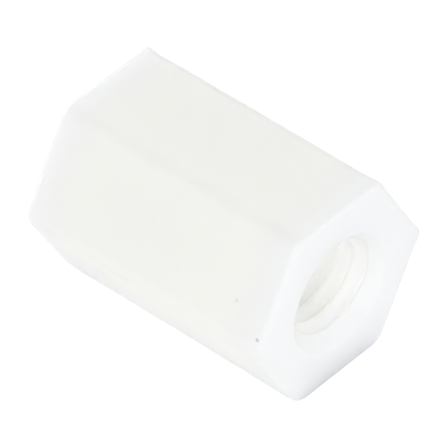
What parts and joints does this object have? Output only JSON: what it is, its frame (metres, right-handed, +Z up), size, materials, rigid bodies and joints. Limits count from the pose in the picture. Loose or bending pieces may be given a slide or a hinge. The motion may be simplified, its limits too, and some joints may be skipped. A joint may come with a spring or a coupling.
{
  "type": "hex standoff",
  "caption": "Short hexagonal standoff in natural nylon, tapped M3 right through, with a countersunk mouth at each end.",
  "frame": {"origin": "middle of the bottom flat, which the bar lies on", "axes": "+X along the bore axis from one end face to the other, +Y across the corners, +Z up across the flats"},
  "size_m": [0.008, 0.0062, 0.0055],
  "materials": {
    "natural_nylon": "translucent milky white, satin"
  },
  "bodies": {
    "root": {"hex_standoff": "natural_nylon"}
  },
  "joints": []
}
